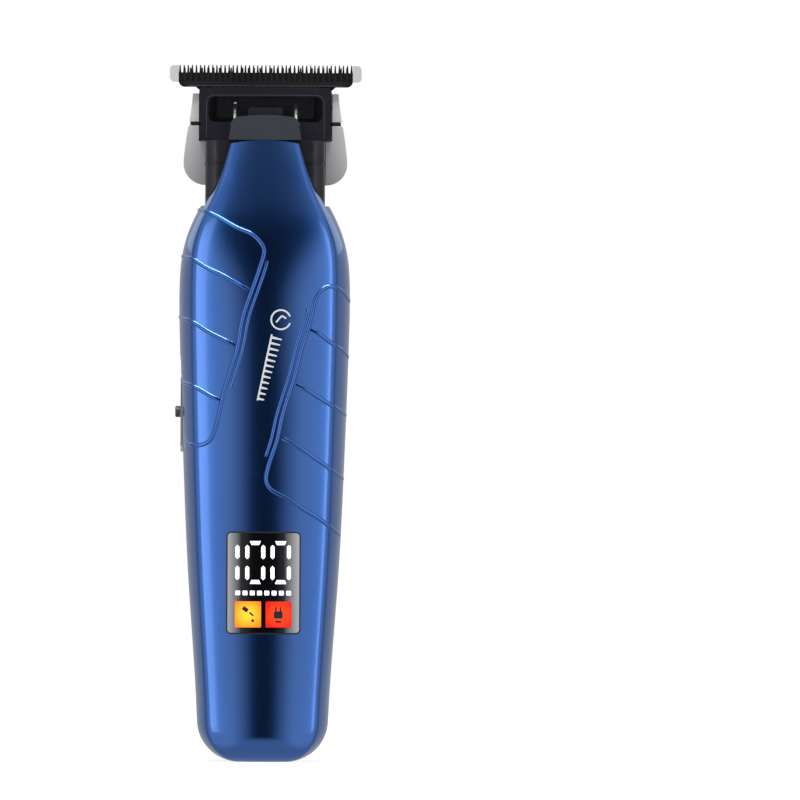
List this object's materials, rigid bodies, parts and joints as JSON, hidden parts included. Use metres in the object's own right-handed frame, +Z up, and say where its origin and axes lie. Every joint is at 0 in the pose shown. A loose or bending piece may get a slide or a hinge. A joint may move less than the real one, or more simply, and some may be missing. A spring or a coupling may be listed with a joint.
{
  "type": "hair clipper",
  "caption": "Cordless T-blade hair trimmer with a slim waisted body, lit display window, side slide switch and rear charging socket in its flat base.",
  "frame": {"origin": "centre of the flat base, on the surface it stands on", "axes": "+Z up to the blade, -Y towards the side with the display, -X towards the slide switch"},
  "size_m": [0.044, 0.0323, 0.1598],
  "materials": {
    "shell_blue": "electroplated metallic blue gloss",
    "black_plastic": "fine matte",
    "slate_plastic": "satin",
    "shield_chrome": "polished",
    "seal_rubber": "matte",
    "carrier_black": "satin",
    "blade_black": "black coated, ground",
    "follower_plastic": "smooth",
    "spring_steel": "drawn wire",
    "guard_white": "smooth",
    "motor_steel": "zinc plated",
    "contact_brass": "bright",
    "frame_plastic": "fine matte",
    "bushing_brass": "sintered",
    "cam_plastic": "smooth",
    "battery_wrap": "heat-shrink sleeve",
    "contact_nickel": "nickel strip",
    "board_green": "solder mask",
    "chip_black": "moulded",
    "module_white": "smooth",
    "window_black": "glossy smoked",
    "lamp_white": "lit",
    "lamp_orange": "lit",
    "lamp_red": "lit",
    "recess_plastic": "fine matte",
    "plate_chrome": "satin",
    "knob_grey": "smooth",
    "socket_steel": "plated",
    "screw_steel": "zinc plated"
  },
  "bodies": {
    "body": {"battery": "battery_wrap", "battery_cradle": "frame_plastic", "battery_tab_high": "contact_nickel", "battery_tab_low": "contact_nickel", "blade_screw_left": "screw_steel", "blade_screw_right": "screw_steel", "blade_spring": "spring_steel", "board_chips": "chip_black", "case_screw_1": "screw_steel", "case_screw_2": "screw_steel", "case_screw_3": "screw_steel", "case_screw_4": "screw_steel", "charge_lamp": "lamp_red", "display_digits": "lamp_white", "display_gauge": "lamp_white", "display_module": "module_white", "display_window": "window_black", "end_guard_left": "guard_white", "end_guard_right": "guard_white", "fixed_blade": "blade_black", "front_shell": "shell_blue", "head_base": "black_plastic", "head_carrier": "carrier_black", "head_screw_1": "screw_steel", "head_screw_2": "screw_steel", "main_board": "board_green", "motor_bracket": "frame_plastic", "motor_can": "motor_steel", "motor_damper": "seal_rubber", "motor_end_cap": "black_plastic", "motor_terminals": "contact_brass", "neck_cap": "slate_plastic", "neck_housing": "black_plastic", "oil_lamp": "lamp_orange", "rear_shell": "shell_blue", "shaft_bushing": "bushing_brass", "shield_gasket": "seal_rubber", "shield_lower": "shield_chrome", "shield_upper": "shield_chrome", "slide_switch": "motor_steel", "socket_board": "board_green", "switch_board": "board_green", "switch_recess": "recess_plastic", "usb_seal": "seal_rubber", "usb_socket": "socket_steel"},
    "drive": {"motor_shaft": "spring_steel", "eccentric_cam": "cam_plastic"},
    "cutter": {"moving_blade": "blade_black", "blade_follower": "follower_plastic"},
    "switch": {"switch_plate": "plate_chrome", "switch_knob": "knob_grey", "switch_actuator": "frame_plastic"}
  },
  "joints": [
    {"name": "motor_spin", "type": "hinge", "parent": "body", "child": "drive", "pos_m": [0, -0.0025, 0.1435], "axis": [0, 0, 1], "range_deg": [-90, 90]},
    {"name": "blade_stroke", "type": "slide", "parent": "body", "child": "cutter", "axis": [1, 0, 0], "range_m": [-0.0009, 0.0009]},
    {"name": "power_switch", "type": "slide", "parent": "body", "child": "switch", "axis": [0, 0, 1], "range_m": [0, 0.0035]}
  ],
  "couplings": [
    {"joint": "motor_spin", "follows": "blade_stroke", "rad_per_m": 1745}
  ]
}
